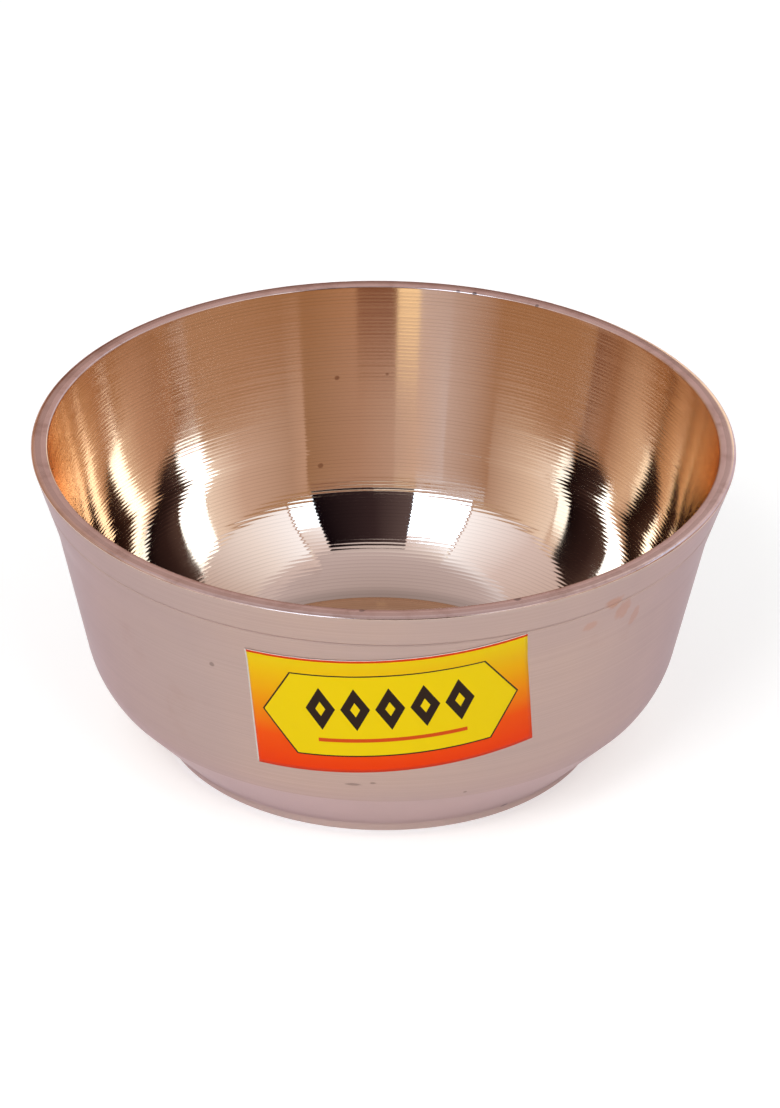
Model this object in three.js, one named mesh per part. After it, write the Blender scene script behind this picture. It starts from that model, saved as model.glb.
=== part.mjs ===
// A turned bronze bowl with a paper label on its front.
// Lengths are in millimetres and +Z is up. The origin is the middle of the face that the foot
// rests on, and the label is on the -Y side. Every outline is a half section: x is the radius
// and y is the height, and it is spun round the bowl's axis.

import * as THREE from 'three';

// Rim and lip
const rimRadius = 51;
const bowlHeight = 46.5;
const rimWidth = 2.4;
const rimEdgeWidth = 0.8;
const rimEdgeDrop = 0.36;
const innerRimEdge = 0.25;
const lipHeight = 10.8;

// Outside: radius gained per height. The wall leans outwards as it rises, and the lip a little more.
const wallSlope = 0.215;
const lipSlope = 0.32;

// Turned line round the outside, measured down from the rim
const turnedLineDrop = 5.4;
const turnedLineWidth = 0.5;
const turnedLineDepth = 0.12;

// Outside, below the wall: a round shoulder ends in a crease, and a flank tapers to the foot
const shoulderRadius = 15;
const creaseHeight = 10.6;
const creaseLean = THREE.MathUtils.degToRad(34);
const footRadius = 32.3;
const footHeight = 1.0;
const footEdge = 0.3;

// Underside: the foot is a ring round a shallow turned recess
const footRingWidth = 4.2;
const recessDepth = 0.8;

// Inside: the wall is one long, slight curve, and a wide cove takes over from it and runs down to
// the edge of the flat floor. A lean is measured from upright.
const innerRimLean = THREE.MathUtils.degToRad(11.7);
const innerWallRadius = 450;
const coveRadius = 32;
const floorHeight = 2.8;
const floorEdgeLean = THREE.MathUtils.degToRad(56);

// Paper label: it stands clear of the wall by a thin gap
const labelWidth = 40;
const labelHeight = 21.5;
const labelThickness = 0.15;
const labelGap = 0.3;
const labelMiddle = 27.9;
const labelTurn = THREE.MathUtils.degToRad(2);
const labelTilt = THREE.MathUtils.degToRad(5.2);

// Fineness of the meshes
const bowlSides = 96;
const arcStep = 2.2;
const leastArcSteps = 4;
const labelStepsAcross = 24;
const labelStepsUp = 12;

const lipStart = bowlHeight - lipHeight;
const innerRimRadius = rimRadius - rimWidth;

// A line that passes through a known point and gains radius at a steady slope as it rises.
function slopedLine(radius, height, slope) {
  return {
    lean: Math.atan(slope),
    radiusAt: (z) => radius + slope * (z - height),
  };
}

// The lip and the wall outside, which meet at the lip's start
const outerLip = slopedLine(rimRadius, bowlHeight - rimEdgeDrop, lipSlope);
const outerWall = slopedLine(outerLip.radiusAt(lipStart), lipStart, wallSlope);

// The shoulder leaves the wall without a kink and ends at the crease.
function shoulderCentre() {
  const centreHeight = creaseHeight + shoulderRadius * Math.sin(creaseLean);
  const topHeight = centreHeight - shoulderRadius * Math.sin(outerWall.lean);
  const centreRadius = outerWall.radiusAt(topHeight) - shoulderRadius * Math.cos(outerWall.lean);
  return new THREE.Vector2(centreRadius, centreHeight);
}

// The cove's centre lies on the line from the long curve's centre to the point where they meet, so
// the two share their lean there.
function innerCurves() {
  const wallCentre = new THREE.Vector2(
    innerRimRadius - innerWallRadius * Math.cos(innerRimLean),
    bowlHeight - innerRimEdge + innerWallRadius * Math.sin(innerRimLean)
  );
  const apart = innerWallRadius - coveRadius;
  const coveHeight = floorHeight + coveRadius * Math.sin(floorEdgeLean);
  const meetingLean = Math.asin((wallCentre.y - coveHeight) / apart);
  const coveCentre = new THREE.Vector2(wallCentre.x + apart * Math.cos(meetingLean), coveHeight);
  return { wallCentre, coveCentre, meetingLean };
}

function drawUnderside(outline) {
  const recessRadius = footRadius - footRingWidth;
  outline.moveTo(0, recessDepth);
  outline.lineTo(recessRadius - recessDepth, recessDepth);
  outline.absarc(recessRadius - recessDepth, 0, recessDepth, Math.PI / 2, 0, true);
  outline.absarc(footRadius - footEdge, footEdge, footEdge, -Math.PI / 2, 0, false);
  outline.lineTo(footRadius, footHeight);
}

function drawOutside(outline) {
  const centre = shoulderCentre();
  outline.absarc(centre.x, centre.y, shoulderRadius, -creaseLean, -outerWall.lean, false);
  outline.lineTo(outerWall.radiusAt(lipStart), lipStart);
  const lineHeight = bowlHeight - turnedLineDrop;
  const below = lineHeight - turnedLineWidth / 2;
  const above = lineHeight + turnedLineWidth / 2;
  outline.lineTo(outerLip.radiusAt(below), below);
  outline.lineTo(outerLip.radiusAt(lineHeight) - turnedLineDepth, lineHeight);
  outline.lineTo(outerLip.radiusAt(above), above);
}

function drawRim(outline) {
  outline.absellipse(
    rimRadius - rimEdgeWidth,
    bowlHeight - rimEdgeDrop,
    rimEdgeWidth,
    rimEdgeDrop,
    0,
    Math.PI / 2,
    false,
    0
  );
  outline.absarc(
    innerRimRadius + innerRimEdge,
    bowlHeight - innerRimEdge,
    innerRimEdge,
    Math.PI / 2,
    Math.PI,
    false
  );
}

function drawInside(outline) {
  const { wallCentre, coveCentre, meetingLean } = innerCurves();
  outline.absarc(wallCentre.x, wallCentre.y, innerWallRadius, -innerRimLean, -meetingLean, true);
  outline.absarc(coveCentre.x, coveCentre.y, coveRadius, -meetingLean, -floorEdgeLean, true);
  outline.lineTo(0, floorHeight);
}

// A straight stretch needs one step and an arc has steps of about equal length.
// Neighbouring stretches share an end, so each doubled point is kept once.
function pointsOf(outline) {
  const doubled = 1e-4;
  const points = outline.curves.flatMap((curve) => {
    const arcSteps = Math.max(leastArcSteps, Math.ceil(curve.getLength() / arcStep));
    return curve.getPoints(curve.isLineCurve ? 1 : arcSteps);
  });
  return points.filter((point, i) => i === 0 || point.distanceTo(points[i - 1]) > doubled);
}

function makeBowl() {
  const outline = new THREE.Path();
  drawUnderside(outline);
  drawOutside(outline);
  drawRim(outline);
  drawInside(outline);
  const geometry = new THREE.LatheGeometry(pointsOf(outline), bowlSides);
  geometry.rotateX(Math.PI / 2);
  const bronze = new THREE.MeshStandardMaterial({ color: 0xb99a8c, roughness: 0.42, metalness: 1 });
  const bowl = new THREE.Mesh(geometry, bronze);
  bowl.name = 'bowl';
  return bowl;
}

// Lays flat paper on the leaning wall. The wall is part of a cone and paper bends but doesn't
// stretch, so the paper is laid out flat round the cone's tip and rolled up again.
// across and up are distances on the paper from its middle, and off is the distance from the wall.
function placeOnWall(across, up, off) {
  const tipSine = Math.sin(outerWall.lean);
  const middleFromTip = outerWall.radiusAt(labelMiddle) / tipSine;
  const fromTip = Math.hypot(across, middleFromTip + up);
  const turn = labelTurn + Math.atan2(across, middleFromTip + up) / tipSine;
  const height = labelMiddle + (fromTip - middleFromTip) * Math.cos(outerWall.lean);
  const surface = height > lipStart ? outerLip : outerWall;
  const radius = surface.radiusAt(height) + off * Math.cos(surface.lean);
  const z = height - off * Math.sin(surface.lean);
  return new THREE.Vector3(radius * Math.sin(turn), -radius * Math.cos(turn), z);
}

function makeLabel() {
  const geometry = new THREE.BoxGeometry(
    labelWidth,
    labelThickness,
    labelHeight,
    labelStepsAcross,
    1,
    labelStepsUp
  );
  geometry.rotateY(-labelTilt);
  const corners = geometry.attributes.position;
  const middleOff = labelGap + labelThickness / 2;
  for (let i = 0; i < corners.count; i += 1) {
    const off = middleOff - corners.getY(i);
    const place = placeOnWall(corners.getX(i), corners.getZ(i), off);
    corners.setXYZ(i, place.x, place.y, place.z);
  }
  geometry.computeVertexNormals();
  const paper = new THREE.MeshStandardMaterial({ color: 0xf08a10, roughness: 0.45, metalness: 0 });
  const label = new THREE.Mesh(geometry, paper);
  label.name = 'paper_label';
  return label;
}

const bowlWithLabel = new THREE.Group();
bowlWithLabel.add(makeBowl());
bowlWithLabel.add(makeLabel());

export default bowlWithLabel;
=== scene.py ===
# %% [markdown]
# # A turned bronze bowl with a paper label
# The bowl is one casting of bronze, turned on a lathe inside and out. The inside is bright, so it
# is a bent mirror that shows the room and itself. The outside has a soft satin finish, and a
# printed paper label is stuck on its front.
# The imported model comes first. It is the fixed frame: it says where everything is and how big.

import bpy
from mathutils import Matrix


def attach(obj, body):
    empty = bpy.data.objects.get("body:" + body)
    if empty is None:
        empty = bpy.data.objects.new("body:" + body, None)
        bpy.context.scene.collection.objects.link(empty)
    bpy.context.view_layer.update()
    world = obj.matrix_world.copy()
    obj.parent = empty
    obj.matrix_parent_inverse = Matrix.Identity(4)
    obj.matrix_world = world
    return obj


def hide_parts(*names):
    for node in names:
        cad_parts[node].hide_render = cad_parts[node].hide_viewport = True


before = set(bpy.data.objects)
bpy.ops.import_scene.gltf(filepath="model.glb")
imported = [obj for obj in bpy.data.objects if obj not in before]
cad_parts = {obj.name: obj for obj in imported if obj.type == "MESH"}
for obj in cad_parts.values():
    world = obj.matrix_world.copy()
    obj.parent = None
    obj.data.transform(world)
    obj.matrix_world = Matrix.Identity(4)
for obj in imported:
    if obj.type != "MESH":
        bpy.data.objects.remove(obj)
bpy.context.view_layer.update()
print("nodes:", sorted(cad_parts))

import math

import bmesh
import bpy
from mathutils import Matrix, Vector

MM = 0.001
MICRON = 0.000001

# %% [markdown]
# ## Camera
# The rim's ellipse, the foot's curve and the wall's edges fix the camera: it looks down at thirty
# degrees through a long lens, a little over 80 cm away, and is turned by less than a degree.
# A long lens is described here by its focal length in pixels of the photograph, because that is
# what can be measured. Blender's lens is that length on a sensor as long as the picture's long side.
# The bowl mirrors itself several times over, so light may bounce many times, with no blur added.

# %% Camera
PHOTO_HEIGHT = 1108
FOCAL_PIXELS = 5573
AIM = Vector((0.00115, 0, 0.02742))
CAMERA_DISTANCE = 0.816
LOOKING_DOWN = math.radians(29.81)
CAMERA_ROLL = math.radians(0.82)
MOST_BOUNCES = 24

camera_data = bpy.data.cameras.new("camera")
camera_data.sensor_width = 36
camera_data.lens = camera_data.sensor_width * FOCAL_PIXELS / PHOTO_HEIGHT
camera = bpy.data.objects.new("camera", camera_data)
bpy.context.scene.collection.objects.link(camera)
bpy.context.scene.camera = camera

towards_camera = Vector((0, -math.cos(LOOKING_DOWN), math.sin(LOOKING_DOWN)))
facing = (-towards_camera).to_track_quat("-Z", "Y").to_matrix().to_4x4()
camera.matrix_world = (
    Matrix.Translation(AIM + towards_camera * CAMERA_DISTANCE)
    @ facing
    @ Matrix.Rotation(CAMERA_ROLL, 4, "Z")
)
bpy.context.scene.view_settings.view_transform = "Standard"
bpy.context.scene.cycles.blur_glossy = 0.0
bpy.context.scene.cycles.max_bounces = MOST_BOUNCES
bpy.context.scene.cycles.glossy_bounces = MOST_BOUNCES
print("lens: %.1f mm" % camera_data.lens)

# %% [markdown]
# ## Helpers for materials
# Every finish here is made of nodes. A few small helpers keep that short: they add a node and fill
# its inputs, add a sum, stretch a range, mix two colours, and make a group or use one.

# %% Helpers for materials
WHITE = (1, 1, 1, 1)


def fill(tree, node, inputs):
    """Gives each input either a value or another node's output."""
    for name, value in inputs.items():
        if isinstance(value, bpy.types.NodeSocket):
            tree.links.new(value, node.inputs[name])
        else:
            node.inputs[name].default_value = value
    return node


def add(tree, kind, inputs=None, **settings):
    node = tree.nodes.new(kind)
    for name, value in settings.items():
        setattr(node, name, value)
    return fill(tree, node, inputs or {})


def maths(tree, operation, *values):
    return add(tree, "ShaderNodeMath", dict(enumerate(values)), operation=operation).outputs[0]


def vector_maths(tree, operation, inputs):
    return add(tree, "ShaderNodeVectorMath", inputs, operation=operation).outputs[0]


def remap(tree, value, low, high, to_low=0.0, to_high=1.0, smooth=False):
    """Turns the range low..high into to_low..to_high, and holds what lies outside it."""
    kind = "SMOOTHSTEP" if smooth else "LINEAR"
    inputs = {"Value": value, "From Min": low, "From Max": high, "To Min": to_low, "To Max": to_high}
    return add(tree, "ShaderNodeMapRange", inputs, interpolation_type=kind).outputs["Result"]


def mix_colour(tree, share, first, second):
    """The node has a set of sockets for each kind of data. Six, seven and two are its colours."""
    inputs = {0: share, 6: first, 7: second}
    return add(tree, "ShaderNodeMix", inputs, data_type="RGBA").outputs[2]


def new_group(name, inputs, outputs):
    group = bpy.data.node_groups.new(name, "ShaderNodeTree")
    for socket, default in inputs.items():
        made = group.interface.new_socket(socket, in_out="INPUT", socket_type="NodeSocketFloat")
        made.default_value = default
    for socket in outputs:
        group.interface.new_socket(socket, in_out="OUTPUT", socket_type="NodeSocketFloat")
    start = group.nodes.new("NodeGroupInput")
    end = group.nodes.new("NodeGroupOutput")
    return group, start.outputs, end.inputs


def use_group(tree, group, inputs):
    node = tree.nodes.new("ShaderNodeGroup")
    node.node_tree = group
    return fill(tree, node, inputs).outputs


def new_material(name):
    material = bpy.data.materials.new(name)
    material.use_nodes = True
    return material, material.node_tree, material.node_tree.nodes["Principled BSDF"]


def rgb(red, green, blue):
    """A colour as it is read off a screen, 0 to 255, turned into the linear light that nodes use."""
    def linear(channel):
        share = channel / 255
        return share / 12.92 if share <= 0.04045 else ((share + 0.055) / 1.055) ** 2.4
    return (linear(red), linear(green), linear(blue), 1)


# %% [markdown]
# ## Studio
# Metal has hardly any colour of its own to show, it shows the room. So the room is part of the
# finish: a white floor and white surroundings, the dark side where the camera stands, a softbox on
# each side of it and a dim ceiling.
# The surroundings and the floor are white to the eye and in a mirror, but give matt surfaces less
# light, so that the paper isn't washed out. A ray's kind tells the two apart.

# %% World
WORLD_ON_MATT_SURFACES = 0.6

world = bpy.data.worlds.new("white_room")
world.use_nodes = True
bpy.context.scene.world = world


def seen_mask(tree):
    """One for a ray that sees, from the camera or off a mirror, and nought for one that lights."""
    path = add(tree, "ShaderNodeLightPath").outputs
    seen = maths(tree, "MAXIMUM", path["Is Camera Ray"], path["Is Glossy Ray"])
    return maths(tree, "MAXIMUM", seen, path["Is Transmission Ray"])


def background(tree, strength):
    return add(tree, "ShaderNodeBackground", {"Color": WHITE, "Strength": strength}).outputs[0]


tree = world.node_tree
tree.nodes.clear()
lighting, shown = background(tree, WORLD_ON_MATT_SURFACES), background(tree, 1.0)
mixed = add(tree, "ShaderNodeMixShader", {0: seen_mask(tree), 1: lighting, 2: shown})
add(tree, "ShaderNodeOutputWorld", {"Surface": mixed.outputs[0]})

# %% [markdown]
# The floor is a real sheet and not only a white background, because the bowl's soft shadow needs
# something to fall on. It glows a little to the eye, which brings it near the photo's full white.

# %% Floor
FLOOR_HALF_SIZE = 3.0
FLOOR_GAP = 0.05 * MM
FLOOR_WHITE = 0.70
FLOOR_GLOW = 0.46

mesh = bmesh.new()
bmesh.ops.create_grid(mesh, x_segments=1, y_segments=1, size=FLOOR_HALF_SIZE)
bmesh.ops.translate(mesh, verts=mesh.verts, vec=(0, 0, -FLOOR_GAP))
floor = bpy.data.objects.new("floor", bpy.data.meshes.new("floor"))
mesh.to_mesh(floor.data)
mesh.free()
bpy.context.scene.collection.objects.link(floor)

material, tree, shader = new_material("white_floor")
tree.nodes.remove(shader)
matt = add(tree, "ShaderNodeBsdfDiffuse", {"Color": (FLOOR_WHITE,) * 3 + (1,)}).outputs[0]
glow_strength = maths(tree, "MULTIPLY", seen_mask(tree), FLOOR_GLOW)
glow = add(tree, "ShaderNodeEmission", {"Strength": glow_strength}).outputs[0]
both = add(tree, "ShaderNodeAddShader", {0: matt, 1: glow}).outputs[0]
tree.links.new(both, tree.nodes["Material Output"].inputs["Surface"])
floor.data.materials.append(material)

# %% [markdown]
# Each card is a sheet of light or shade that stands at an angle round the bowl and an angle above
# the floor, far enough away that only those angles matter. The camera doesn't see the cards, the
# metal does. Their angles come from following mirror rays off the metal out to the room. Their tones
# were judged the same way and then adjusted, by comparing this picture with the photo.

# %% Cards
CARD_DISTANCE = 2.5
CARD_STEP = 5
BOWL_MIDDLE = Vector((0, 0, 0.03))

card_paint, tree, shader = new_material("studio_card")
tree.nodes.remove(shader)
shade = add(tree, "ShaderNodeAttribute", attribute_name="shade").outputs["Color"]
light = add(tree, "ShaderNodeEmission", {"Color": shade, "Strength": 1.0}).outputs[0]
tree.links.new(light, tree.nodes["Material Output"].inputs["Surface"])


def stand_card(name, turns, lifts, left, right=None, top=None):
    """turns and lifts are from-to angles in degrees: round the bowl from the camera's side to the
    right, and above the floor. The light goes from left to right and fades to the top's."""
    mesh = bmesh.new()
    mesh.verts.layers.float_color.new("shade")
    shade = mesh.verts.layers.float_color["shade"]
    steps = [math.ceil((last - first) / CARD_STEP) for first, last in (turns, lifts)]
    bmesh.ops.create_grid(mesh, x_segments=steps[0], y_segments=steps[1], size=0.5)
    for corner in mesh.verts:
        across, up = corner.co.x + 0.5, corner.co.y + 0.5
        colour = Vector(left).lerp(Vector(right or left), across)
        corner[shade] = (*colour.lerp(Vector(top or colour), up), 1)
        turn = math.radians(turns[0] + (turns[1] - turns[0]) * across)
        lift = math.radians(lifts[0] + (lifts[1] - lifts[0]) * up)
        level = math.cos(lift)
        towards = (level * math.sin(turn), -level * math.cos(turn), math.sin(lift))
        corner.co = BOWL_MIDDLE + CARD_DISTANCE * Vector(towards)
    card = bpy.data.objects.new(name, bpy.data.meshes.new(name))
    mesh.to_mesh(card.data)
    mesh.free()
    bpy.context.scene.collection.objects.link(card)
    card.data.materials.append(card_paint)
    card.visible_camera = False
    card.visible_shadow = False
    card.visible_diffuse = False


LAMP_LEFT, LAMP_RIGHT, WINDOW = (3.2, 4.4, 6.2), (1.8, 2.3, 3.0), (1.1, 1.45, 2.2)
BRIGHT, PALE, COOL = (1.15, 1.25, 1.5), (0.96, 0.95, 1.05), (0.76, 0.79, 1.05)
SOFT, TAN, CREAM = (0.78, 0.70, 0.77), (0.58, 0.47, 0.47), (1.38, 1.3, 1.02)
BROWN, RUST, DEEP = (0.55, 0.41, 0.39), (0.45, 0.27, 0.16), (0.24, 0.11, 0.07)
LILAC, DUSK, GOLD = (0.58, 0.52, 0.59), (0.42, 0.36, 0.39), (0.57, 0.36, 0.24)
GREY, SHADE, DARK = (0.12, 0.09, 0.10), (0.04, 0.025, 0.03), (0.004, 0.002, 0.004)

# The camera's side, with a softbox on each side of it
stand_card("camera_side_left", (-13, 4), (22, 52), GREY, SHADE)
stand_card("camera_side_right", (4, 30), (21, 52), SHADE, DARK)
stand_card("softbox_left", (-38, -13), (23, 46), LAMP_LEFT)
stand_card("over_softbox_left", (-38, -13), (46, 52), BRIGHT, SOFT)
stand_card("under_softbox_left", (-38, -13), (20, 23), TAN, SOFT)
stand_card("softbox_left_frame", (-39, -38), (24, 50), BROWN)
stand_card("softbox_right", (30, 41), (24, 38), LAMP_RIGHT)
stand_card("over_softbox_right", (30, 41), (38, 52), BRIGHT, PALE, SOFT)
stand_card("softbox_right_frame", (41, 42), (24, 50), BROWN)

# The sides, and all that is low in front
stand_card("panel_left", (-70, -39), (24, 52), SOFT, BRIGHT)
stand_card("panel_far_left", (-110, -70), (24, 52), TAN, SOFT)
stand_card("panel_right", (42, 64), (24, 52), BRIGHT, PALE)
stand_card("panel_far_right", (64, 100), (24, 52), PALE, TAN)
stand_card("low_far_left", (-110, -38), (-3, 24), RUST, (0.55, 0.39, 0.30))
stand_card("low_left", (-38, -20), (-3, 20), TAN, RUST)
stand_card("low_front", (-20, 30), (-3, 20.5), RUST, DEEP)
stand_card("low_right", (30, 42), (-3, 24), RUST)
stand_card("low_far_right", (42, 100), (-3, 24), RUST)

# Behind the bowl: two bounces show this as columns under the back rim
stand_card("back_low_right", (100, 157), (5, 23), RUST, COOL)
stand_card("back_lamp", (157, 172), (5, 23), CREAM)
stand_card("back_door", (172, 199), (5, 23), DEEP)
stand_card("back_wood", (199, 230), (5, 23), GOLD, RUST)
stand_card("back_low_left", (230, 250), (5, 23), RUST)
stand_card("over_back_lamp", (157, 172), (23, 26), CREAM, CREAM, SOFT)
stand_card("over_back_door", (172, 199), (23, 26), DEEP, RUST, BROWN)
stand_card("back_right", (100, 135), (23, 42), (0.50, 0.36, 0.31), (0.70, 0.67, 0.82))
stand_card("back_middle", (135, 157), (23, 42), COOL, SOFT)
stand_card("back_middle_high", (157, 172), (26, 42), SOFT, (0.68, 0.60, 0.66))
stand_card("back_left_high", (172, 199), (26, 45), (0.64, 0.54, 0.58), BROWN)
stand_card("back_left", (199, 238), (23, 45), BROWN, (0.43, 0.30, 0.23))
stand_card("back_corner", (238, 250), (23, 52), (0.68, 0.55, 0.55), TAN)
stand_card("window_right", (100, 155), (42, 49), WINDOW)

# Overhead
stand_card("ceiling_left", (-110, -38), (52, 58), LILAC, BRIGHT, LILAC)
stand_card("ceiling_front", (-38, 41), (52, 58), PALE, LILAC, LILAC)
stand_card("ceiling_right", (41, 110), (52, 58), SOFT, LILAC)
stand_card("ceiling_back", (100, 238), (45, 58), LILAC)
stand_card("high_ceiling", (-110, 250), (58, 89), LILAC, LILAC, DUSK)

# %% [markdown]
# The cards light nothing matt. Two lamps do that, one over each of the camera's shoulders like the
# softboxes, the left one the stronger. Mirrors don't show them, because the cards are there for it.

# %% Lamps
LAMP_SIZE = 0.45
LAMPS = {"lamp_left": (5.6, (-0.35, -0.8, 0.9)), "lamp_right": (2.6, (0.35, -0.8, 0.9))}

for name, (power, place) in LAMPS.items():
    lamp_data = bpy.data.lights.new(name, "AREA")
    lamp_data.size = LAMP_SIZE
    lamp_data.energy = power
    lamp = bpy.data.objects.new(name, lamp_data)
    lamp.location = place
    lamp.rotation_euler = (BOWL_MIDDLE - lamp.location).to_track_quat("-Z", "Y").to_euler()
    lamp.visible_glossy = False
    bpy.context.scene.collection.objects.link(lamp)

# %% [markdown]
# ## Outline of the bowl
# A turned bowl is half a section, spun round its axis. It could also be cut from stacked rings or
# carved out of a solid, but the half section is what a lathe really cuts, and each of its sizes can
# be measured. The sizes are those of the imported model.

# %% Sizes of the bowl
RIM_RADIUS = 51 * MM
BOWL_HEIGHT = 46.5 * MM
RIM_WIDTH = 2.4 * MM
RIM_EDGE_WIDTH = 0.8 * MM
RIM_EDGE_DROP = 0.36 * MM
INNER_RIM_EDGE = 0.25 * MM
LIP_HEIGHT = 10.8 * MM
WALL_SLOPE = 0.215
LIP_SLOPE = 0.32
TURNED_LINE_DROP = 5.4 * MM
TURNED_LINE_WIDTH = 0.5 * MM
TURNED_LINE_DEPTH = 0.12 * MM
SHOULDER_RADIUS = 15 * MM
CREASE_HEIGHT = 10.6 * MM
CREASE_LEAN = math.radians(34)
FOOT_RADIUS = 32.3 * MM
FOOT_HEIGHT = 1.0 * MM
FOOT_EDGE = 0.3 * MM
FOOT_RING_WIDTH = 4.2 * MM
RECESS_DEPTH = 0.8 * MM
INNER_RIM_LEAN = math.radians(11.7)
INNER_WALL_RADIUS = 450 * MM
COVE_RADIUS = 32 * MM
FLOOR_HEIGHT = 2.8 * MM
FLOOR_EDGE_LEAN = math.radians(56)

LIP_START = BOWL_HEIGHT - LIP_HEIGHT
INNER_RIM_RADIUS = RIM_RADIUS - RIM_WIDTH
WALL_LEAN = math.atan(WALL_SLOPE)
QUARTER = math.pi / 2


def sloped_line(radius, height, slope):
    """The radius at any height of a line that gains radius steadily as it rises."""
    return lambda z: radius + slope * (z - height)


outer_lip = sloped_line(RIM_RADIUS, BOWL_HEIGHT - RIM_EDGE_DROP, LIP_SLOPE)
outer_wall = sloped_line(outer_lip(LIP_START), LIP_START, WALL_SLOPE)

# %% [markdown]
# The outline is drawn with a pen that does what a draughtsman does: straight lines, and arcs round
# a centre. A straight line is a corner extruded and moved, and an arc is a corner spun round the
# arc's centre. The pen also keeps the distance it has travelled, which the materials need later,
# because turning marks follow the outline.

# %% Pen
LINE_STEP = 1.2 * MM
ARC_STEP = 0.5 * MM


class Pen:
    """Draws in the XZ plane. Each corner keeps how far along the outline it lies."""

    def __init__(self, radius, height):
        self.mesh = bmesh.new()
        self.mesh.verts.layers.float.new("along")
        self.mesh.verts.layers.int.new("sharp")
        self.along = self.mesh.verts.layers.float["along"]
        self.sharp = self.mesh.verts.layers.int["sharp"]
        self.tip = self.mesh.verts.new((radius, 0, height))
        self.marks = []

    def corner(self):
        """The outline has a crisp corner here."""
        self.tip[self.sharp] = 1

    def mark(self):
        """Remembers the distance here: another finish starts."""
        self.marks.append(self.tip[self.along])

    def _move_tip(self, corner):
        step = (corner.co - self.tip.co).length
        corner[self.along] = self.tip[self.along] + step
        corner[self.sharp] = 0
        self.tip = corner

    def line_to(self, radius, height):
        end = Vector((radius, 0, height))
        start = self.tip.co.copy()
        steps = max(1, math.ceil((end - start).length / LINE_STEP))
        for i in range(1, steps + 1):
            made = bmesh.ops.extrude_vert_indiv(self.mesh, verts=[self.tip])["verts"][0]
            made.co = start.lerp(end, i / steps)
            self._move_tip(made)

    def arc(self, centre, turn, fewest=3):
        """turn is in radians, and positive goes from outwards to upwards."""
        middle = Vector((centre[0], 0, centre[1]))
        size = (self.tip.co - middle).length
        steps = max(fewest, math.ceil(abs(turn) * size / ARC_STEP))
        for _ in range(steps):
            made = bmesh.ops.spin(
                self.mesh, geom=[self.tip], cent=middle, axis=(0, -1, 0),
                angle=turn / steps, steps=1, use_duplicate=False,
            )["geom_last"]
            self._move_tip(next(g for g in made if isinstance(g, bmesh.types.BMVert)))


# %% [markdown]
# The pen starts in the middle of the underside: a shallow recess, the ring that the bowl rests on,
# then up the flank to a crease. A round shoulder leaves the wall without a kink, so its centre
# follows from the wall's lean. A fine turned line runs round the lip.

# %% Draw the underside and the outside
pen = Pen(0, RECESS_DEPTH)
recess_radius = FOOT_RADIUS - FOOT_RING_WIDTH
pen.line_to(recess_radius - RECESS_DEPTH, RECESS_DEPTH)
pen.arc((recess_radius - RECESS_DEPTH, 0), -QUARTER)
pen.line_to(FOOT_RADIUS - FOOT_EDGE, 0)
pen.mark()
pen.arc((FOOT_RADIUS - FOOT_EDGE, FOOT_EDGE), QUARTER)
pen.line_to(FOOT_RADIUS, FOOT_HEIGHT)

shoulder_height = CREASE_HEIGHT + SHOULDER_RADIUS * math.sin(CREASE_LEAN)
shoulder_top = outer_wall(shoulder_height - SHOULDER_RADIUS * math.sin(WALL_LEAN))
shoulder = (shoulder_top - SHOULDER_RADIUS * math.cos(WALL_LEAN), shoulder_height)
crease_radius = shoulder[0] + SHOULDER_RADIUS * math.cos(CREASE_LEAN)
pen.line_to(crease_radius, CREASE_HEIGHT)
pen.corner()
pen.arc(shoulder, CREASE_LEAN - WALL_LEAN)
pen.line_to(outer_wall(LIP_START), LIP_START)

line_height = BOWL_HEIGHT - TURNED_LINE_DROP
for rise, depth in ((-0.5, 0), (0, TURNED_LINE_DEPTH), (0.5, 0)):
    z = line_height + rise * TURNED_LINE_WIDTH
    pen.line_to(outer_lip(z) - depth, z)
    pen.corner()
pen.line_to(outer_lip(BOWL_HEIGHT - RIM_EDGE_DROP), BOWL_HEIGHT - RIM_EDGE_DROP)
pen.mark()
print("crease radius: %.2f mm" % (crease_radius / MM))

# %% [markdown]
# The rim's outer edge is worn to a flat oval: a quarter circle drawn in its own small space and
# then flattened. The inner edge is a small round one.
# The inner wall is one long, slight curve, and a wide cove takes over from it and runs down to the
# flat floor. The cove's centre lies on the line from the long curve's centre to the point where
# they meet, so the two share their lean there and the mirror has no kink.

# %% Draw the rim and the inside
edge_start = len(pen.mesh.verts)
edge_bottom = BOWL_HEIGHT - RIM_EDGE_DROP
pen.arc((RIM_RADIUS - RIM_EDGE_WIDTH, edge_bottom), QUARTER, fewest=8)
pen.mesh.verts.ensure_lookup_table()
bmesh.ops.scale(
    pen.mesh,
    verts=pen.mesh.verts[edge_start:],
    vec=(1, 1, RIM_EDGE_DROP / RIM_EDGE_WIDTH),
    space=Matrix.Translation((0, 0, -edge_bottom)),
)
pen.line_to(INNER_RIM_RADIUS + INNER_RIM_EDGE, BOWL_HEIGHT)
pen.arc((INNER_RIM_RADIUS + INNER_RIM_EDGE, BOWL_HEIGHT - INNER_RIM_EDGE), QUARTER, fewest=6)
pen.mark()

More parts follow.
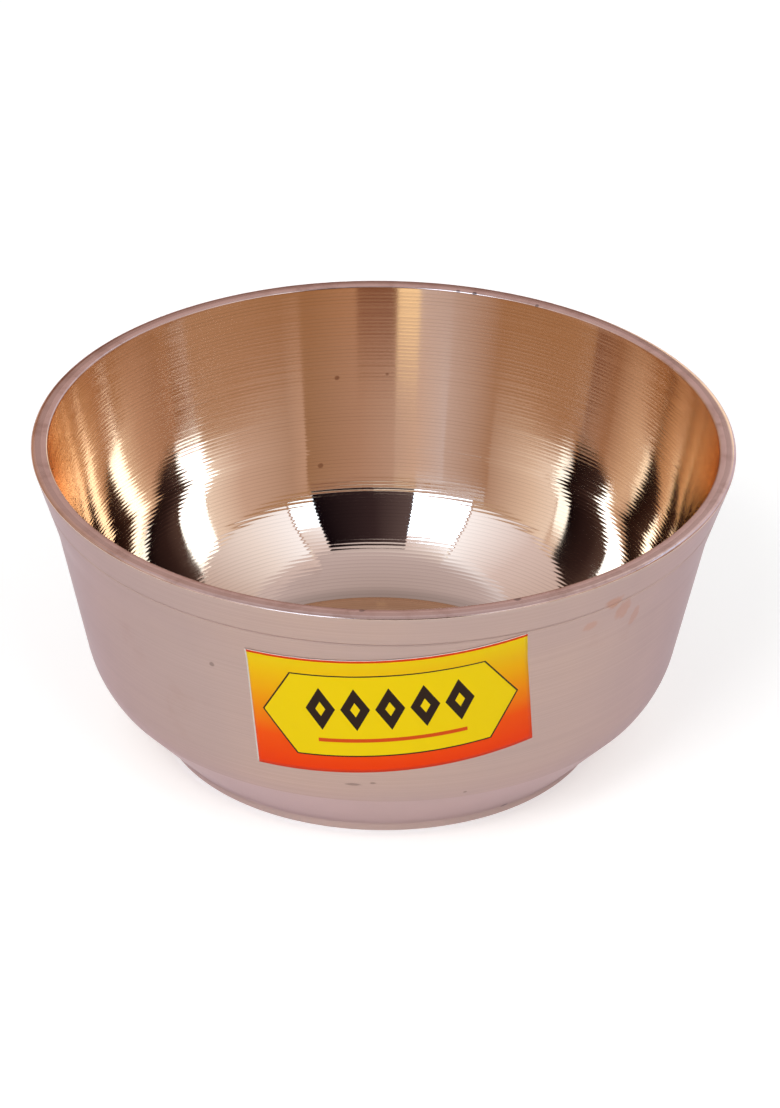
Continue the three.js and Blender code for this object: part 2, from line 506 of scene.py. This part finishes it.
wall_centre = (
    INNER_RIM_RADIUS - INNER_WALL_RADIUS * math.cos(INNER_RIM_LEAN),
    BOWL_HEIGHT - INNER_RIM_EDGE + INNER_WALL_RADIUS * math.sin(INNER_RIM_LEAN),
)
cove_height = FLOOR_HEIGHT + COVE_RADIUS * math.sin(FLOOR_EDGE_LEAN)
apart = INNER_WALL_RADIUS - COVE_RADIUS
meeting_lean = math.asin((wall_centre[1] - cove_height) / apart)
cove_centre = (wall_centre[0] + apart * math.cos(meeting_lean), cove_height)
pen.arc(wall_centre, INNER_RIM_LEAN - meeting_lean)
pen.arc(cove_centre, meeting_lean - FLOOR_EDGE_LEAN)
pen.corner()
floor_edge_along = pen.tip[pen.along]
pen.line_to(0, FLOOR_HEIGHT)
print("outline: %d corners, %.1f mm long" % (len(pen.mesh.verts), pen.tip[pen.along] / MM))

# %% [markdown]
# Now the lathe turns. Each face takes its finish from how far along the outline it lies: the pen
# left a mark wherever another finish starts, and the number of marks passed is the finish's number.

# %% Spin the outline
BOWL_SIDES = 256
MERGE_DISTANCE = 1e-6
CUBIC_CM = 1e-6

body = pen.mesh
bmesh.ops.spin(
    body, geom=body.verts[:] + body.edges[:], cent=(0, 0, 0), axis=(0, 0, 1),
    angle=2 * math.pi, steps=BOWL_SIDES, use_merge=True,
)
bmesh.ops.remove_doubles(body, verts=body.verts, dist=MERGE_DISTANCE)
bmesh.ops.recalc_face_normals(body, faces=body.faces)
for face in body.faces:
    middle = sum(v[pen.along] for v in face.verts) / len(face.verts)
    face.material_index = sum(middle > mark for mark in pen.marks)
    face.smooth = True
for edge in body.edges:
    start, end = edge.verts
    if start[pen.sharp] and end[pen.sharp]:
        edge.smooth = False
bowl = bpy.data.objects.new("bronze_bowl", bpy.data.meshes.new("bronze_bowl"))
body.to_mesh(bowl.data)
print("bowl: %d faces, volume %.1f cm3" % (len(body.faces), body.calc_volume() / CUBIC_CM))
body.free()
bpy.context.scene.collection.objects.link(bowl)
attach(bowl, "root")
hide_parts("bowl")

# %% [markdown]
# ## Turning marks
# The cutting tool leaves one shallow groove for each turn of the lathe, so the marks are rings
# that follow the outline at an even pitch. The distance along the outline, kept by the pen, is
# divided by the pitch: the whole part numbers the groove, and the rest says where across it a
# point lies. Every groove gets its own depth.
# Between two grooves the relief has to be level. A step there, however small, shows in bright
# metal as a scratch, so each groove is a ridge that fades to nothing at both of its borders.
# A valley is the border itself, a mask for painted shade, and a ripple is a slower wave, a couple
# of grooves long.
# Hairlines are a noise stretched right round the bowl, for the outside and the rim.

# %% Turning marks group
CHATTER_SCALE = 9.0
RIPPLES_PER_GROOVE = 0.45
HAIRLINE_STRETCH = 1.2
SLOW_SCALE = 45.0

group, given, result = new_group(
    "turning_marks",
    {"Pitch": 0.6 * MM, "Wander": 0.05 * MM, "Hairlines per metre": 6000.0},
    ("Groove", "Valley shade", "Ripple", "Ring tone", "Hairline", "Slow"),
)
along = add(group, "ShaderNodeAttribute", attribute_name="along").outputs["Fac"]
here = add(group, "ShaderNodeTexCoord").outputs["Object"]
flat = vector_maths(group, "MULTIPLY", {0: here, 1: (1, 1, 0)})
around = vector_maths(group, "NORMALIZE", {0: flat})
chatter_noise = {"Vector": around, "Scale": CHATTER_SCALE, "Detail": 2.0}
chatter = add(group, "ShaderNodeTexNoise", chatter_noise).outputs[0]
wander = maths(group, "MULTIPLY", maths(group, "SUBTRACT", chatter, 0.5), given["Wander"])
turns = maths(group, "DIVIDE", maths(group, "ADD", along, wander), given["Pitch"])
number = maths(group, "FLOOR", turns)
across = maths(group, "MULTIPLY_ADD", maths(group, "FRACT", turns), 2.0, -1.0)
one_value = add(group, "ShaderNodeTexWhiteNoise", {"W": number}, noise_dimensions="1D")
depth = one_value.outputs["Value"]

from_border = maths(group, "SUBTRACT", 1.0, maths(group, "MULTIPLY", across, across))
ridge = maths(group, "POWER", from_border, 2.0)
ridge = maths(group, "MULTIPLY", ridge, remap(group, depth, 0, 1, 0.5, 1))
# The valley mask says where painted shade goes: the border of each groove, painted darker.
valley_shade = remap(group, maths(group, "ABSOLUTE", across), 0.55, 1.0, smooth=True)
valley_shade = maths(group, "MULTIPLY", valley_shade, remap(group, depth, 0, 1, 0.4, 1))
waves = maths(group, "MULTIPLY", turns, RIPPLES_PER_GROOVE)
ripple_noise = {"W": waves, "Scale": 1.0, "Detail": 2.0}
ripple = add(group, "ShaderNodeTexNoise", ripple_noise, noise_dimensions="1D").outputs[0]

stretched = vector_maths(group, "SCALE", {0: around, "Scale": HAIRLINE_STRETCH})
rise = maths(group, "MULTIPLY", along, given["Hairlines per metre"])
rise = add(group, "ShaderNodeCombineXYZ", {"Z": rise}).outputs[0]
stretched = vector_maths(group, "ADD", {0: stretched, 1: rise})
hair_noise = {"Vector": stretched, "Scale": 1.0, "Detail": 3.0}
hair = add(group, "ShaderNodeTexNoise", hair_noise).outputs[0]
slow_noise = {"Vector": here, "Scale": SLOW_SCALE, "Detail": 3.0}
slow = add(group, "ShaderNodeTexNoise", slow_noise).outputs[0]

made = (ridge, valley_shade, ripple, depth, hair, slow)
for name, value in zip(("Groove", "Valley shade", "Ripple", "Ring tone", "Hairline", "Slow"), made):
    group.links.new(value, result[name])
turning_marks = group

# %% [markdown]
# ## Stains and specks
# Handled bronze has cloudy brown stains and a few dark pits. One group gives both as masks, and
# each finish says how many it has. A pit sits in the middle of a cell, and only some cells have
# one: the cell's random colour says which, and how large it is.

# %% Handling marks group
LARGEST_PIT = 0.028
CELLS_WITHOUT_PIT = 0.55
DEEPEST_STAIN = 0.85

group, given, result = new_group(
    "handling_marks",
    {"Stain size": 20 * MM, "Stain start": 0.6, "Pit spacing": 12 * MM},
    ("Stain", "Pit"),
)
here = add(group, "ShaderNodeTexCoord").outputs["Object"]
stain_scale = maths(group, "DIVIDE", 1.0, given["Stain size"])
stain_noise = {"Vector": here, "Scale": stain_scale, "Detail": 6.0, "Roughness": 0.62}
cloud = add(group, "ShaderNodeTexNoise", stain_noise).outputs[0]
cloudy = remap(group, cloud, given["Stain start"], DEEPEST_STAIN, smooth=True)
group.links.new(cloudy, result["Stain"])

pit_scale = maths(group, "DIVIDE", 1.0, given["Pit spacing"])
cells = add(group, "ShaderNodeTexVoronoi", {"Vector": here, "Scale": pit_scale}).outputs
chance = maths(group, "FRACT", maths(group, "MULTIPLY", cells["Color"], 7.0))
size = remap(group, chance, CELLS_WITHOUT_PIT, 1, 0.0, LARGEST_PIT)
group.links.new(maths(group, "LESS_THAN", cells["Distance"], size), result["Pit"])
handling_marks = group

# %% [markdown]
# ## Bronze
# All four finishes are the same bare metal. A turned surface blurs what it mirrors across its
# grooves far more than along them, so the blur is stretched, and its direction follows the rings.
# The marks that are plain to see in the photo are painted at their own places: each spot is given
# by its turn from the camera's side in degrees, and its radius, height and size in millimetres.

# %% Helpers for bronze
SPOT_EDGE_SCALE = 900.0


def bronze(name, colour, grazing, roughness, stretch):
    """A bare metal: its colour face on, its colour at a grazing angle, and how it blurs."""
    material, tree, shader = new_material(name)
    tangent = add(tree, "ShaderNodeTangent", direction_type="RADIAL", axis="Z").outputs[0]
    fill(tree, shader, {
        "Metallic": 1.0,
        "Base Color": colour,
        "Specular Tint": grazing,
        "Roughness": roughness,
        "Anisotropic": stretch,
        "Anisotropic Rotation": 0.25,
        "Tangent": tangent,
    })
    return material, tree, shader


def bump(tree, height, reach, below=None):
    inputs = {"Height": height, "Distance": reach, "Strength": 1.0}
    if below is not None:
        inputs["Normal"] = below
    return add(tree, "ShaderNodeBump", inputs).outputs[0]


def times(colour, share):
    return tuple(channel * share for channel in colour[:3]) + (1,)


def height_above_foot(tree):
    here = add(tree, "ShaderNodeTexCoord").outputs["Object"]
    return add(tree, "ShaderNodeSeparateXYZ", {0: here}).outputs["Z"]


# Mixes a colour in under a mask: real stains and marks, and also painted shade and a painted
# reflection.
def stain_or_painted_light(tree, base, mask, share, colour):
    return mix_colour(tree, maths(tree, "MULTIPLY", mask, share), base, colour)


def spot(tree, turn, radius, height, wide, high):
    """A mask for one mark with a ragged edge."""
    angle = math.radians(turn)
    centre = Vector((radius * math.sin(angle), -radius * math.cos(angle), height)) * MM
    here = add(tree, "ShaderNodeTexCoord").outputs["Object"]
    edge_noise = {"Vector": here, "Scale": SPOT_EDGE_SCALE, "Detail": 2.0}
    rough_edge = add(tree, "ShaderNodeTexNoise", edge_noise).outputs[0]
    apart = vector_maths(tree, "SUBTRACT", {0: here, 1: centre})
    scale = (1 / (wide * MM), 1 / (wide * MM), 1 / (high * MM))
    apart = vector_maths(tree, "MULTIPLY", {0: apart, 1: scale})
    length = add(tree, "ShaderNodeVectorMath", {0: apart}, operation="LENGTH").outputs["Value"]
    length = maths(tree, "ADD", length, maths(tree, "SUBTRACT", rough_edge, 0.5))
    return remap(tree, length, 1.1, 0.6, smooth=True)


def spots(tree, base, marks):
    """Paints marks on a colour. Each has a share, a colour and its spot's place and size."""
    for share, colour, place in marks:
        base = stain_or_painted_light(tree, base, spot(tree, *place), share, colour)
    return base


# %% [markdown]
# The outside is satin: fine turning lines, slow clouds of a duller tone, and below the crease a
# flank painted a little brighter, as a painted reflection of the floor. Of its spots, the first two
# are the marks side by side under the label, and the rusty ones are on the lip, right of the label.

# %% Outside finish
SATIN = (0.485, 0.35, 0.30, 1)
SATIN_GRAZING = (0.78, 0.71, 0.79, 1)
SATIN_CLOUD = (0.43, 0.34, 0.34, 1)
# Painted reflection: the lighter tone painted on the flank below the crease.
PAINTED_FLANK_SHEEN = (0.62, 0.47, 0.43, 1)
STAIN_BROWN = (0.33, 0.17, 0.10, 1)
RUST_BROWN = (0.46, 0.20, 0.10, 1)
PIT_BROWN = (0.12, 0.08, 0.07, 1)
OUTSIDE_SPOTS = (
    (0.5, PIT_BROWN, (-5, 43.2, 14.5, 1.5, 0.25)),
    (0.5, PIT_BROWN, (-1, 43.3, 14.9, 0.6, 0.25)),
    (0.5, PIT_BROWN, (-30, 47.0, 32.6, 0.45, 0.45)),
    (0.7, PIT_BROWN, (33.5, 32.9, 1.6, 0.6, 0.5)),
    (0.5, PIT_BROWN, (17, 41.9, 11.7, 0.35, 0.3)),
    (0.45, RUST_BROWN, (41, 49.3, 41.6, 1.8, 1.3)),
    (0.35, RUST_BROWN, (44, 48.7, 39.2, 1.5, 2.2)),
    (0.30, RUST_BROWN, (48, 47.9, 36.5, 1.0, 2.4)),
    (0.30, RUST_BROWN, (37, 48.5, 38.5, 1.6, 0.9)),
)

outside, tree, shader = bronze("satin_bronze", SATIN, SATIN_GRAZING, 0.34, 0.35)
pattern = {"Pitch": 0.22 * MM, "Wander": 0.4 * MM, "Hairlines per metre": 9000.0}
marks = use_group(tree, turning_marks, pattern)
wear = {"Stain size": 18 * MM, "Stain start": 0.60, "Pit spacing": 11 * MM}
handled = use_group(tree, handling_marks, wear)
tone = remap(tree, marks["Hairline"], 0.3, 0.7)
base = mix_colour(tree, tone, times(SATIN, 0.92), times(SATIN, 1.05))
base = mix_colour(tree, remap(tree, marks["Slow"], 0.35, 0.65, 0.0, 0.3), base, SATIN_CLOUD)
base = stain_or_painted_light(tree, base, handled["Stain"], 0.25, STAIN_BROWN)
base = mix_colour(tree, handled["Pit"], base, PIT_BROWN)
# Painted reflection: the flank below the crease is painted lighter, for the bright floor it mirrors.
flank_sheen = maths(tree, "LESS_THAN", height_above_foot(tree), CREASE_HEIGHT)
base = stain_or_painted_light(tree, base, flank_sheen, 0.35, PAINTED_FLANK_SHEEN)
relief = bump(tree, marks["Groove"], 1.2 * MICRON)
fill(tree, shader, {
    "Base Color": spots(tree, base, OUTSIDE_SPOTS),
    "Roughness": remap(tree, marks["Slow"], 0.35, 0.65, 0.30, 0.40),
    "Normal": bump(tree, marks["Hairline"], 3 * MICRON, relief),
})

# %% [markdown]
# Use rubs the rim, so it is brighter than the outside and slightly uneven, with brown stains. It
# also has a few small dark nicks, the darkest at the back. They are painted, not cut.

# %% Rim finish
RIM_BRONZE = (0.79, 0.60, 0.50, 1)
RIM_SPOTS = (
    (0.8, PIT_BROWN, (164, 48.8, 46.4, 0.4, 0.4)),
    (0.6, PIT_BROWN, (167, 48.8, 46.4, 0.35, 0.3)),
    (0.6, PIT_BROWN, (152, 48.8, 46.4, 0.35, 0.3)),
    (0.6, PIT_BROWN, (22.5, 49.0, 46.4, 0.6, 0.5)),
    (0.5, PIT_BROWN, (-3, 49.0, 46.4, 0.5, 0.5)),
)

rim_finish, tree, shader = bronze("worn_rim", RIM_BRONZE, SATIN_GRAZING, 0.16, 0.2)
pattern = {"Pitch": 0.8 * MM, "Wander": 0.3 * MM, "Hairlines per metre": 9000.0}
marks = use_group(tree, turning_marks, pattern)
wear = {"Stain size": 5 * MM, "Stain start": 0.42, "Pit spacing": 6 * MM}
handled = use_group(tree, handling_marks, wear)
tone = remap(tree, marks["Ring tone"], 0.3, 0.7)
base = mix_colour(tree, tone, times(RIM_BRONZE, 0.85), RIM_BRONZE)
base = stain_or_painted_light(tree, base, handled["Stain"], 0.6, STAIN_BROWN)
relief = bump(tree, marks["Slow"], 60 * MICRON)
fill(tree, shader, {
    "Base Color": spots(tree, base, RIM_SPOTS),
    "Normal": bump(tree, marks["Hairline"], 3 * MICRON, relief),
})

# %% [markdown]
# The inside is a mirror with grooves. They break the borders of every mirrored shape into a comb,
# and each valley between two grooves has painted shade. The upper wall blurs more than the cove,
# and a ring of painted shade runs round the cove beside the corner where it meets the floor.
# Of the three specks on the back wall, two are left of its middle and one is in it.

# %% Inside finish
POLISHED = (0.86, 0.70, 0.55, 1)
POLISHED_GRAZING = (1.0, 0.98, 0.95, 1)
TARNISH = (0.5, 0.3, 0.18, 1)
INNER_PIT = (0.25, 0.13, 0.06, 1)
# The width of the band of painted shade on the cove beside the floor's corner.
CORNER_SHADE_WIDTH = 2.2 * MM
UPPER_WALL_START, UPPER_WALL_FULL = 18 * MM, 38 * MM
INSIDE_SPOTS = (
    (0.7, STAIN_BROWN, (-170.7, 45.4, 32.6, 0.45, 0.4)),
    (0.6, STAIN_BROWN, (-166.7, 42.0, 19.4, 0.5, 0.4)),
    (0.5, STAIN_BROWN, (179.6, 45.6, 33.0, 0.3, 0.3)),
)

inside, tree, shader = bronze("polished_bronze", POLISHED, POLISHED_GRAZING, 0.06, 0.9)
marks = use_group(tree, turning_marks, {"Pitch": 0.56 * MM, "Wander": 0.08 * MM})
wear = {"Stain size": 12 * MM, "Stain start": 0.62, "Pit spacing": 14 * MM}
handled = use_group(tree, handling_marks, wear)
base = stain_or_painted_light(tree, POLISHED, handled["Stain"], 0.2, TARNISH)
# Painted shade: each valley between two grooves is painted darker.
base = stain_or_painted_light(tree, base, marks["Valley shade"], 0.28, times(POLISHED, 0.5))
along = add(tree, "ShaderNodeAttribute", attribute_name="along").outputs["Fac"]
# Painted shade: a darker band on the cove, just beside its corner with the floor.
corner_shade_start, corner_shade_full = floor_edge_along - CORNER_SHADE_WIDTH, floor_edge_along - 0.2 * CORNER_SHADE_WIDTH
corner_shade = remap(tree, along, corner_shade_start, corner_shade_full, smooth=True)
corner_shade = maths(tree, "MULTIPLY", corner_shade, maths(tree, "LESS_THAN", along, floor_edge_along))
base = stain_or_painted_light(tree, base, corner_shade, 0.5, times(POLISHED, 0.5))
base = mix_colour(tree, handled["Pit"], base, INNER_PIT)
upper = remap(tree, height_above_foot(tree), UPPER_WALL_START, UPPER_WALL_FULL, smooth=True)
grooves = maths(tree, "MULTIPLY", marks["Groove"], remap(tree, upper, 0, 1, 1.3, 1.0))
relief = bump(tree, grooves, 3.4 * MICRON)
fill(tree, shader, {
    "Base Color": spots(tree, base, INSIDE_SPOTS),
    "Roughness": remap(tree, upper, 0, 1, 0.04, 0.10),
    "Normal": bump(tree, marks["Ripple"], 10 * MICRON, relief),
})

# %% [markdown]
# The underside isn't in the photo, so it is guessed: satin like the outside, with coarser rings
# than the rest and some stains.

# %% Underside finish
under, tree, shader = bronze("turned_underside", SATIN, SATIN_GRAZING, 0.36, 0.5)
marks = use_group(tree, turning_marks, {"Pitch": 0.9 * MM, "Wander": 0.1 * MM})
wear = {"Stain size": 12 * MM, "Stain start": 0.52, "Pit spacing": 8 * MM}
handled = use_group(tree, handling_marks, wear)
base = mix_colour(tree, marks["Ring tone"], times(SATIN, 0.9), times(SATIN, 1.06))
fill(tree, shader, {
    "Base Color": stain_or_painted_light(tree, base, handled["Stain"], 0.5, STAIN_BROWN),
    "Normal": bump(tree, marks["Groove"], 10 * MICRON),
})

for finish in (under, outside, rim_finish, inside):
    bowl.data.materials.append(finish)
print("finishes:", [finish.name for finish in bowl.data.materials])

# %% [markdown]
# ## Paper label
# The label is a flat sheet bent round the wall. Paper bends but doesn't stretch, so it is laid
# out flat round the tip of the cone that the wall is part of, and rolled up again. The flat
# places are kept as the UV map, in millimetres, and the print is drawn on them.

# %% Label sheet
LABEL_WIDTH = 40 * MM
LABEL_HEIGHT = 21.5 * MM
PAPER_THICKNESS = 0.12 * MM
GLUE = 0.03 * MM
LABEL_MIDDLE = 27.9 * MM
LABEL_TURN = math.radians(2)
LABEL_TILT = math.radians(5.2)


def place_on_wall(across, up, off):
    """across and up are measured on the paper from its middle, and off from the wall."""
    tip_sine = math.sin(WALL_LEAN)
    from_tip_to_middle = outer_wall(LABEL_MIDDLE) / tip_sine
    from_tip = math.hypot(across, from_tip_to_middle + up)
    turn = LABEL_TURN + math.atan2(across, from_tip_to_middle + up) / tip_sine
    z = LABEL_MIDDLE + (from_tip - from_tip_to_middle) * math.cos(WALL_LEAN)
    surface, slope = (outer_lip, LIP_SLOPE) if z > LIP_START else (outer_wall, WALL_SLOPE)
    lean = math.atan(slope)
    radius = surface(z) + off * math.cos(lean)
    return Vector((radius * math.sin(turn), -radius * math.cos(turn), z - off * math.sin(lean)))


sheet = bmesh.new()
bmesh.ops.create_grid(sheet, x_segments=56, y_segments=30, size=0.5)
bmesh.ops.scale(sheet, verts=sheet.verts, vec=(LABEL_WIDTH, LABEL_HEIGHT, 1))
print_places = sheet.loops.layers.uv.new("print_mm")
for face in sheet.faces:
    face.smooth = True
    for loop in face.loops:
        loop[print_places].uv = (loop.vert.co.x / MM, loop.vert.co.y / MM)
bmesh.ops.rotate(sheet, verts=sheet.verts, matrix=Matrix.Rotation(LABEL_TILT, 3, "Z"))
for corner in sheet.verts:
    corner.co = place_on_wall(corner.co.x, corner.co.y, GLUE + PAPER_THICKNESS)
for face in sheet.faces:
    if face.normal.y > 0:
        face.normal_flip()
label = bpy.data.objects.new("paper_sticker", bpy.data.meshes.new("paper_sticker"))
sheet.to_mesh(label.data)
sheet.free()
bpy.context.scene.collection.objects.link(label)
body_of_paper = label.modifiers.new("thickness", "SOLIDIFY")
body_of_paper.thickness = PAPER_THICKNESS
body_of_paper.offset = -1
body_of_paper.material_offset_rim = 1
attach(label, "root")
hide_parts("paper_label")
print("label: %.1f by %.1f mm on a lean of %.1f degrees"
      % (LABEL_WIDTH / MM, LABEL_HEIGHT / MM, math.degrees(WALL_LEAN)))

# %% [markdown]
# The print is drawn with sums on the paper's flat millimetres, as a printer's plate would be: a
# ground that goes from yellow to red, a plaque with slanted ends, a row of diamonds on it and a
# rule under them. A picture file could do it too, but sums stay sharp at any size and need no file.
# Measures in this cell are millimetres on the paper.

# %% Print
GROUND_TOP, GROUND_MIDDLE = rgb(244, 206, 0), rgb(244, 160, 0)
GROUND_LOW, GROUND_FOOT = rgb(246, 84, 0), rgb(240, 58, 0)
PLAQUE_YELLOW, DARK_INK = rgb(243, 210, 0), rgb(40, 22, 10)
RULE_RED, TOP_RED = rgb(215, 80, 15), rgb(205, 60, 12)
PAPER_WHITE = rgb(238, 228, 220)

HALF_WIDTH, HALF_HEIGHT = LABEL_WIDTH / MM / 2, LABEL_HEIGHT / MM / 2
PLAQUE_HALF_HEIGHT = 7.6
SLANT_ACROSS, SLANT_UP, SLANT_REACH = 0.86, 0.5, 15.6
OUTLINE_HALF_WIDTH = 0.12
DIAMOND_SPACING, DIAMONDS_EACH_SIDE = 4.9, 2.0
DIAMOND_RISE = 1.3
DIAMOND, HEART = (2.1, 4.0), (0.7, 1.35)
RULE_DROP, RULE_HALF_LENGTH, RULE_HALF_WIDTH = 4.6, 10.5, 0.35
TOP_LINE_WIDTH = 0.45
BARE_EDGE = 0.2

printed, tree, shader = new_material("printed_paper")
uv = add(tree, "ShaderNodeUVMap", uv_map="print_mm").outputs[0]
place = add(tree, "ShaderNodeSeparateXYZ", {0: uv}).outputs
x, y = place["X"], place["Y"]
abs_x, abs_y = maths(tree, "ABSOLUTE", x), maths(tree, "ABSOLUTE", y)

from_foot = remap(tree, y, -HALF_HEIGHT, HALF_HEIGHT)
ground = add(tree, "ShaderNodeValToRGB", {"Fac": from_foot})
stops = ground.color_ramp.elements
for position, colour in ((0.28, GROUND_LOW), (0.62, GROUND_MIDDLE), (0.95, GROUND_TOP)):
    stops.new(position).color = colour
stops[0].color = GROUND_FOOT
stops.remove(stops[-1])

slanted_x = maths(tree, "MULTIPLY", abs_x, SLANT_ACROSS)
slanted = maths(tree, "ADD", slanted_x, maths(tree, "MULTIPLY", abs_y, SLANT_UP))
past_top = maths(tree, "SUBTRACT", abs_y, PLAQUE_HALF_HEIGHT)
past_end = maths(tree, "SUBTRACT", slanted, SLANT_REACH)
past_plaque = maths(tree, "MAXIMUM", past_top, past_end)
on_plaque = maths(tree, "LESS_THAN", past_plaque, 0)
ink = mix_colour(tree, on_plaque, ground.outputs["Color"], PLAQUE_YELLOW)
on_outline = maths(tree, "LESS_THAN", maths(tree, "ABSOLUTE", past_plaque), OUTLINE_HALF_WIDTH)
ink = mix_colour(tree, on_outline, ink, DARK_INK)


def diamond(x_from_middle, y_from_middle, half_width, half_height):
    wide = maths(tree, "DIVIDE", maths(tree, "ABSOLUTE", x_from_middle), half_width)
    high = maths(tree, "DIVIDE", maths(tree, "ABSOLUTE", y_from_middle), half_height)
    return maths(tree, "LESS_THAN", maths(tree, "ADD", wide, high), 1.0)


step = maths(tree, "ROUND", maths(tree, "DIVIDE", x, DIAMOND_SPACING))
step = maths(tree, "MAXIMUM", step, -DIAMONDS_EACH_SIDE)
step = maths(tree, "MINIMUM", step, DIAMONDS_EACH_SIDE)
from_step = maths(tree, "SUBTRACT", x, maths(tree, "MULTIPLY", step, DIAMOND_SPACING))
from_row = maths(tree, "SUBTRACT", y, DIAMOND_RISE)
ink = mix_colour(tree, diamond(from_step, from_row, *DIAMOND), ink, DARK_INK)
ink = mix_colour(tree, diamond(from_step, from_row, *HEART), ink, PLAQUE_YELLOW)

from_rule = maths(tree, "ABSOLUTE", maths(tree, "ADD", y, RULE_DROP))
on_rule = maths(tree, "LESS_THAN", from_rule, RULE_HALF_WIDTH)
on_rule = maths(tree, "MULTIPLY", on_rule, maths(tree, "LESS_THAN", abs_x, RULE_HALF_LENGTH))
ink = mix_colour(tree, on_rule, ink, RULE_RED)
top_line = maths(tree, "GREATER_THAN", y, HALF_HEIGHT - TOP_LINE_WIDTH)
ink = mix_colour(tree, top_line, ink, TOP_RED)
bare_edge = maths(tree, "LESS_THAN", x, -HALF_WIDTH + BARE_EDGE)
ink = mix_colour(tree, bare_edge, ink, PAPER_WHITE)

# %% [markdown]
# The paper has a faint gloss from the ink and a few soft wrinkles, where it didn't take the curve.
# Its cut edge is bare white paper, which shows as a thin light line.

# %% Paper
WRINKLES_PER_MM = 0.16

wrinkle_noise = {"Vector": uv, "Scale": WRINKLES_PER_MM, "Detail": 3.0}
wrinkles = add(tree, "ShaderNodeTexNoise", wrinkle_noise).outputs[0]
fill(tree, shader, {
    "Base Color": ink,
    "Roughness": 0.42,
    "Specular IOR Level": 0.1,
    "Normal": bump(tree, wrinkles, 40 * MICRON),
})

paper_edge, tree, shader = new_material("paper_edge")
fill(tree, shader, {"Base Color": PAPER_WHITE, "Roughness": 0.8})
label.data.materials.append(printed)
label.data.materials.append(paper_edge)
